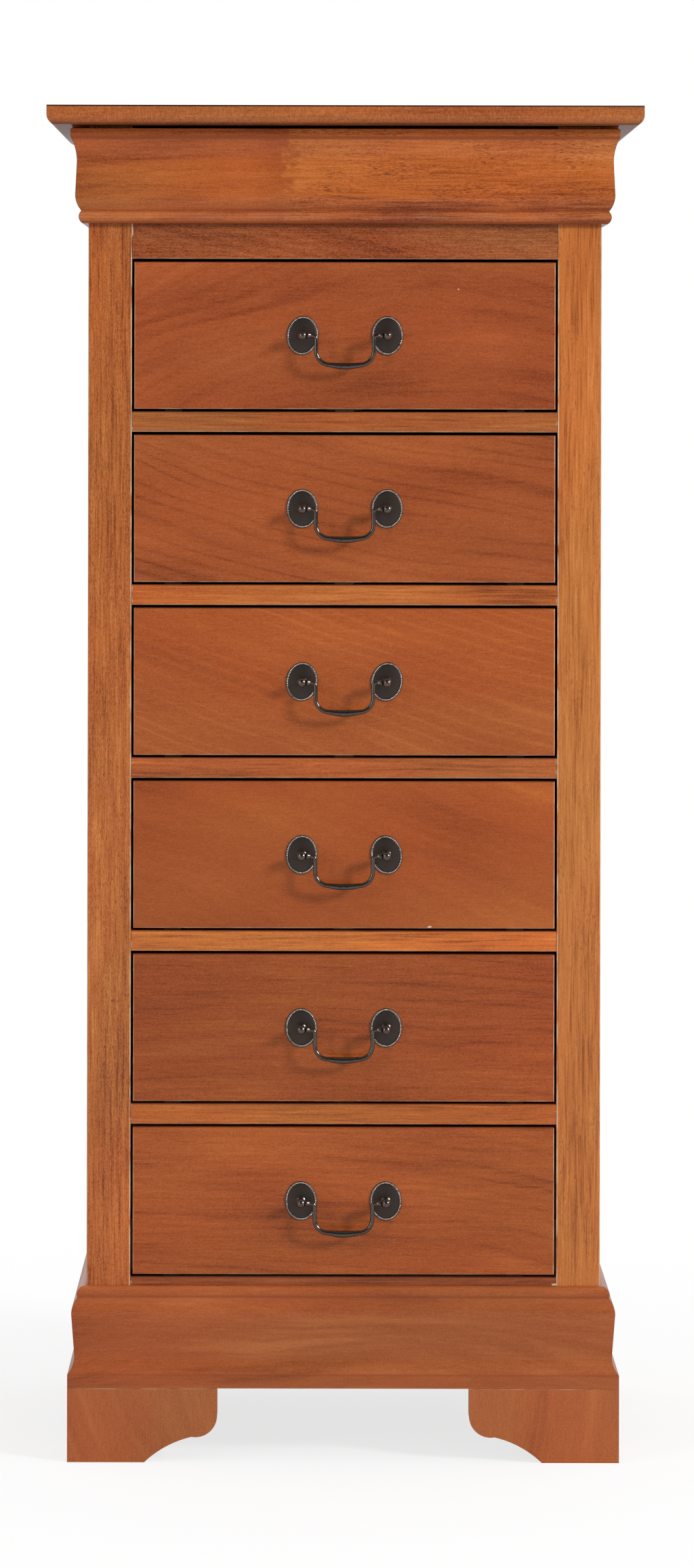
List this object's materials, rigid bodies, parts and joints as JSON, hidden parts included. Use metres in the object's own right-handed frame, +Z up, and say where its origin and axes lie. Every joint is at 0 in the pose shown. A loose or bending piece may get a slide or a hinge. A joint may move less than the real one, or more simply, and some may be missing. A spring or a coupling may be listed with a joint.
{
  "type": "tall narrow chest of drawers",
  "caption": "Tall narrow wooden chest of drawers on bracket feet, with bail pulls, ogee base and cornice, and a hidden drawer behind the cornice.",
  "frame": {"origin": "on the floor, at the middle of the top board's width and depth", "axes": "+Z up, the drawer fronts face -Y, +X to the right of someone facing the drawers"},
  "size_m": [0.56, 0.406, 1.2755],
  "materials": {
    "case_wood": "satin lacquer, cherry stain",
    "drawer_front_wood": "satin lacquer, reddish cherry stain",
    "inner_wood": "thin clear sealer",
    "plywood": "raw",
    "glide_nylon": "moulded",
    "dark_metal": "blackened and rubbed"
  },
  "bodies": {
    "carcass": {"top_panel": "case_wood", "left_side_panel": "case_wood", "right_side_panel": "case_wood", "left_stile": "case_wood", "right_stile": "case_wood", "bottom_rail": "case_wood", "divider_rails": "case_wood", "top_rail": "case_wood", "left_cornice": "case_wood", "right_cornice": "case_wood", "front_base": "case_wood", "left_base": "case_wood", "right_base": "case_wood", "front_left_foot": "case_wood", "front_right_foot": "case_wood", "rear_left_foot": "case_wood", "rear_right_foot": "case_wood", "back_panel": "plywood", "rear_rails": "inner_wood", "centre_guides": "inner_wood", "glide_pads": "glide_nylon"},
    "hidden_drawer": {"hidden_drawer_cornice": "case_wood", "hidden_drawer_box": "inner_wood", "hidden_drawer_bottom": "plywood"},
    "drawer_1": {"drawer_1_front": "drawer_front_wood", "drawer_1_box": "inner_wood", "drawer_1_bottom": "plywood", "pull_1_rosettes": "dark_metal", "pull_1_posts": "dark_metal"},
    "bail_1": {"pull_1_bail": "dark_metal"},
    "drawer_2": {"drawer_2_front": "drawer_front_wood", "drawer_2_box": "inner_wood", "drawer_2_bottom": "plywood", "pull_2_rosettes": "dark_metal", "pull_2_posts": "dark_metal"},
    "bail_2": {"pull_2_bail": "dark_metal"},
    "drawer_3": {"drawer_3_front": "drawer_front_wood", "drawer_3_box": "inner_wood", "drawer_3_bottom": "plywood", "pull_3_rosettes": "dark_metal", "pull_3_posts": "dark_metal"},
    "bail_3": {"pull_3_bail": "dark_metal"},
    "drawer_4": {"drawer_4_front": "drawer_front_wood", "drawer_4_box": "inner_wood", "drawer_4_bottom": "plywood", "pull_4_rosettes": "dark_metal", "pull_4_posts": "dark_metal"},
    "bail_4": {"pull_4_bail": "dark_metal"},
    "drawer_5": {"drawer_5_front": "drawer_front_wood", "drawer_5_box": "inner_wood", "drawer_5_bottom": "plywood", "pull_5_rosettes": "dark_metal", "pull_5_posts": "dark_metal"},
    "bail_5": {"pull_5_bail": "dark_metal"},
    "drawer_6": {"drawer_6_front": "drawer_front_wood", "drawer_6_box": "inner_wood", "drawer_6_bottom": "plywood", "pull_6_rosettes": "dark_metal", "pull_6_posts": "dark_metal"},
    "bail_6": {"pull_6_bail": "dark_metal"}
  },
  "joints": [
    {"name": "hidden_drawer_slide", "type": "slide", "parent": "carcass", "child": "hidden_drawer", "axis": [0, -1, 0], "range_m": [0, 0.26]},
    {"name": "drawer_1_slide", "type": "slide", "parent": "carcass", "child": "drawer_1", "axis": [0, -1, 0], "range_m": [0, 0.26]},
    {"name": "bail_1_swing", "type": "hinge", "parent": "drawer_1", "child": "bail_1", "pos_m": [0, -0.181, 1.06], "axis": [-1, 0, 0], "range_deg": [-25, 205]},
    {"name": "drawer_2_slide", "type": "slide", "parent": "carcass", "child": "drawer_2", "axis": [0, -1, 0], "range_m": [0, 0.26]},
    {"name": "bail_2_swing", "type": "hinge", "parent": "drawer_2", "child": "bail_2", "pos_m": [0, -0.181, 0.8967], "axis": [-1, 0, 0], "range_deg": [-25, 205]},
    {"name": "drawer_3_slide", "type": "slide", "parent": "carcass", "child": "drawer_3", "axis": [0, -1, 0], "range_m": [0, 0.26]},
    {"name": "bail_3_swing", "type": "hinge", "parent": "drawer_3", "child": "bail_3", "pos_m": [0, -0.181, 0.7334], "axis": [-1, 0, 0], "range_deg": [-25, 205]},
    {"name": "drawer_4_slide", "type": "slide", "parent": "carcass", "child": "drawer_4", "axis": [0, -1, 0], "range_m": [0, 0.26]},
    {"name": "bail_4_swing", "type": "hinge", "parent": "drawer_4", "child": "bail_4", "pos_m": [0, -0.181, 0.5701], "axis": [-1, 0, 0], "range_deg": [-25, 205]},
    {"name": "drawer_5_slide", "type": "slide", "parent": "carcass", "child": "drawer_5", "axis": [0, -1, 0], "range_m": [0, 0.26]},
    {"name": "bail_5_swing", "type": "hinge", "parent": "drawer_5", "child": "bail_5", "pos_m": [0, -0.181, 0.4068], "axis": [-1, 0, 0], "range_deg": [-25, 205]},
    {"name": "drawer_6_slide", "type": "slide", "parent": "carcass", "child": "drawer_6", "axis": [0, -1, 0], "range_m": [0, 0.26]},
    {"name": "bail_6_swing", "type": "hinge", "parent": "drawer_6", "child": "bail_6", "pos_m": [0, -0.181, 0.2435], "axis": [-1, 0, 0], "range_deg": [-25, 205]}
  ]
}
